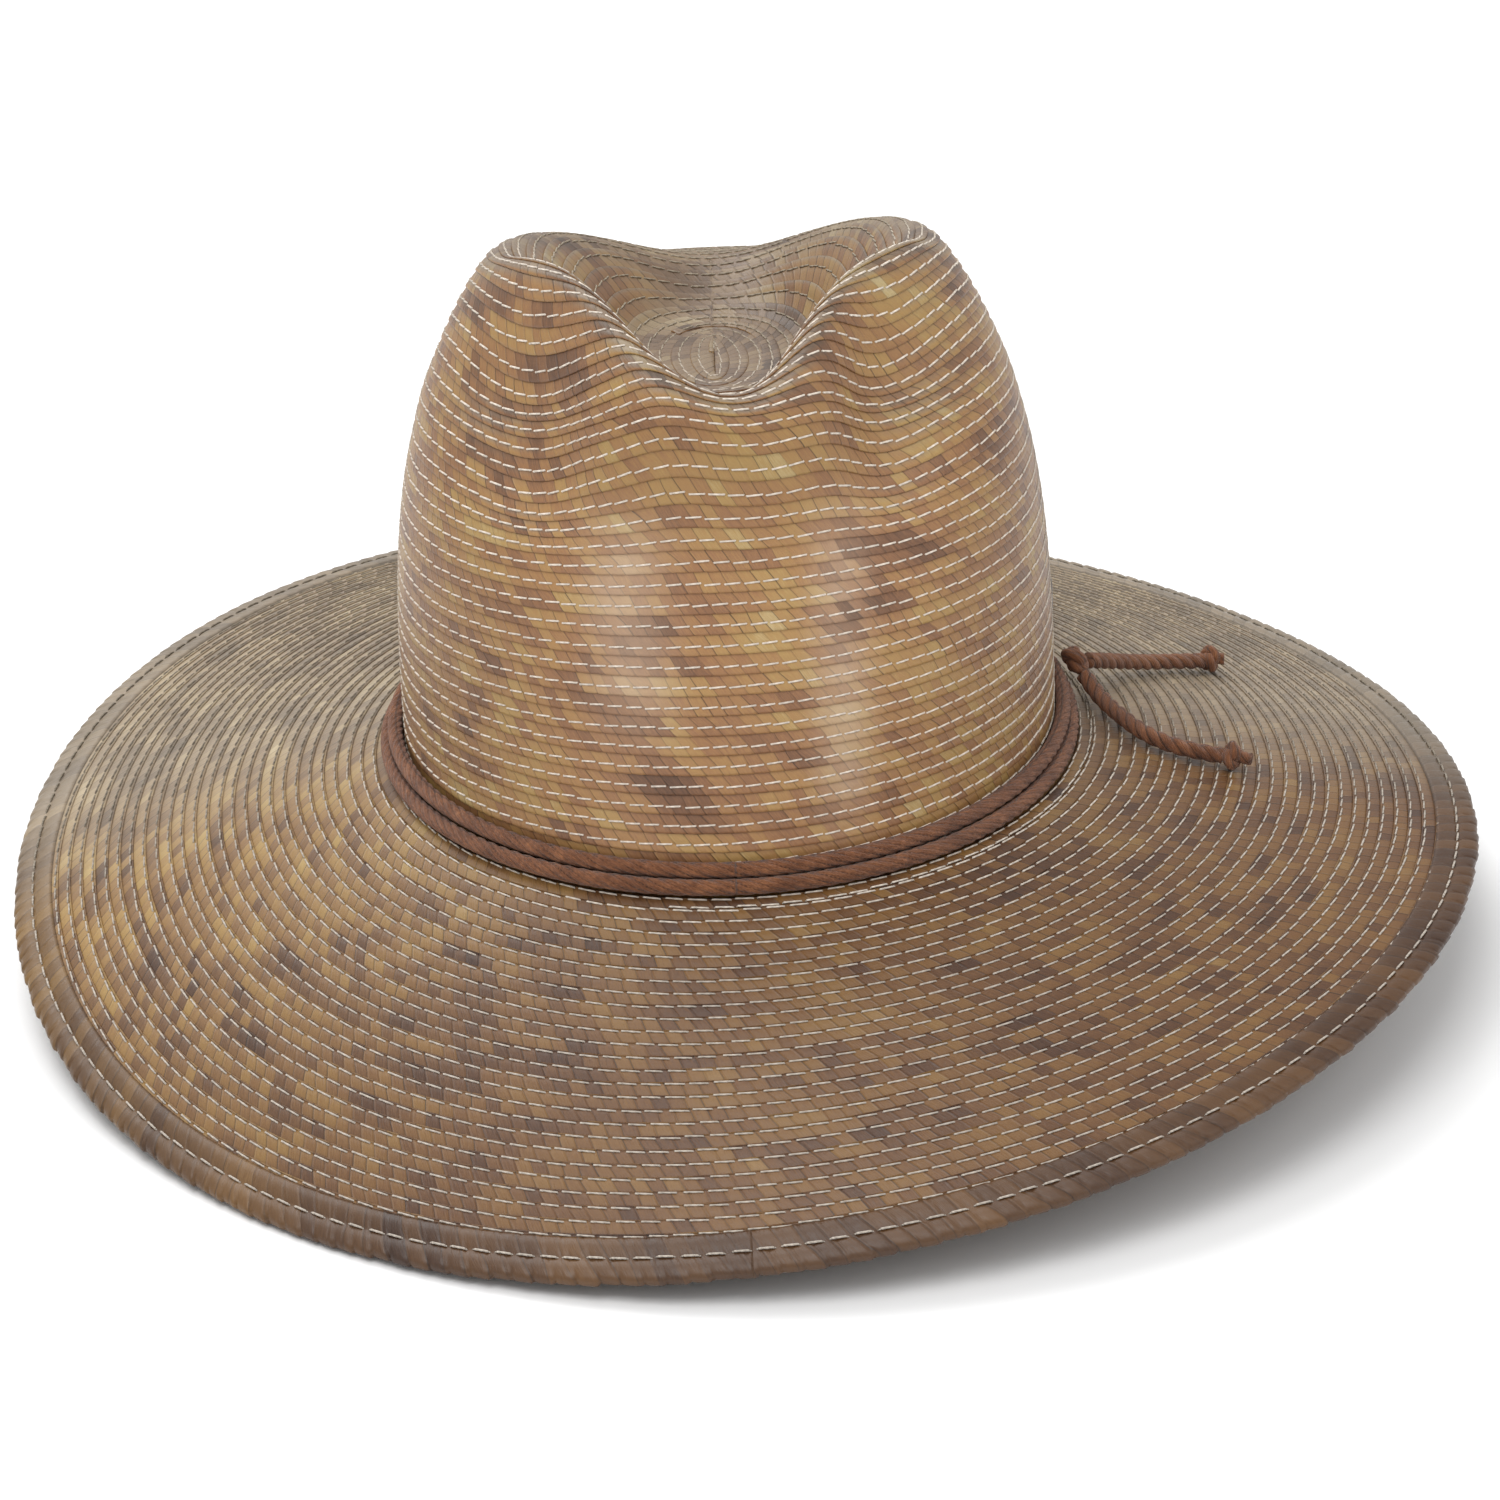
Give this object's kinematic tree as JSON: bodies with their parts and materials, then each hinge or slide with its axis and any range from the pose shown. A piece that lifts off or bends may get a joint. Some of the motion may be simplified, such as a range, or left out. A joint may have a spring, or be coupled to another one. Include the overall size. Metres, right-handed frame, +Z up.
{
  "type": "sun hat",
  "caption": "Wide-brimmed sun hat of sewn palm braid, with a dented and pinched crown, a twisted cord hatband with knotted tails, and an inner sweatband.",
  "frame": {"origin": "below the middle of the rim, on the surface that the hat stands on", "axes": "+Z up out of the crown, -Y to the front of the hat, +X to the wearer's left"},
  "size_m": [0.3903, 0.4147, 0.1982],
  "materials": {
    "braid": "sewn palm-leaf braid, tan to brown, slightly glossy",
    "edge_braid": "wider palm-leaf braid, browner and greyer",
    "cord": "rusty brown twisted cord, matt",
    "sweatband_leather": "dark brown smooth leather",
    "tape": "dark woven tape",
    "tag": "blank pale woven tag",
    "thread": "off-white sewing thread",
    "badge_metal": "dark brown enamelled plate with bare metal pins"
  },
  "bodies": {
    "root": {"crown_braid": "braid", "crown_tip": "braid", "brim_braid": "braid", "edge_braid": "edge_braid", "band_wrap_lower": "cord", "band_wrap_upper": "cord", "band_knot": "cord", "tail_upper": "cord", "tail_knot_upper": "cord", "tail_lower": "cord", "tail_knot_lower": "cord", "sweatband": "sweatband_leather", "sweatband_joint": "tape", "size_tag": "tag", "sweatband_stitches": "thread", "badge_plate": "badge_metal", "badge_pins": "badge_metal"}
  },
  "joints": []
}
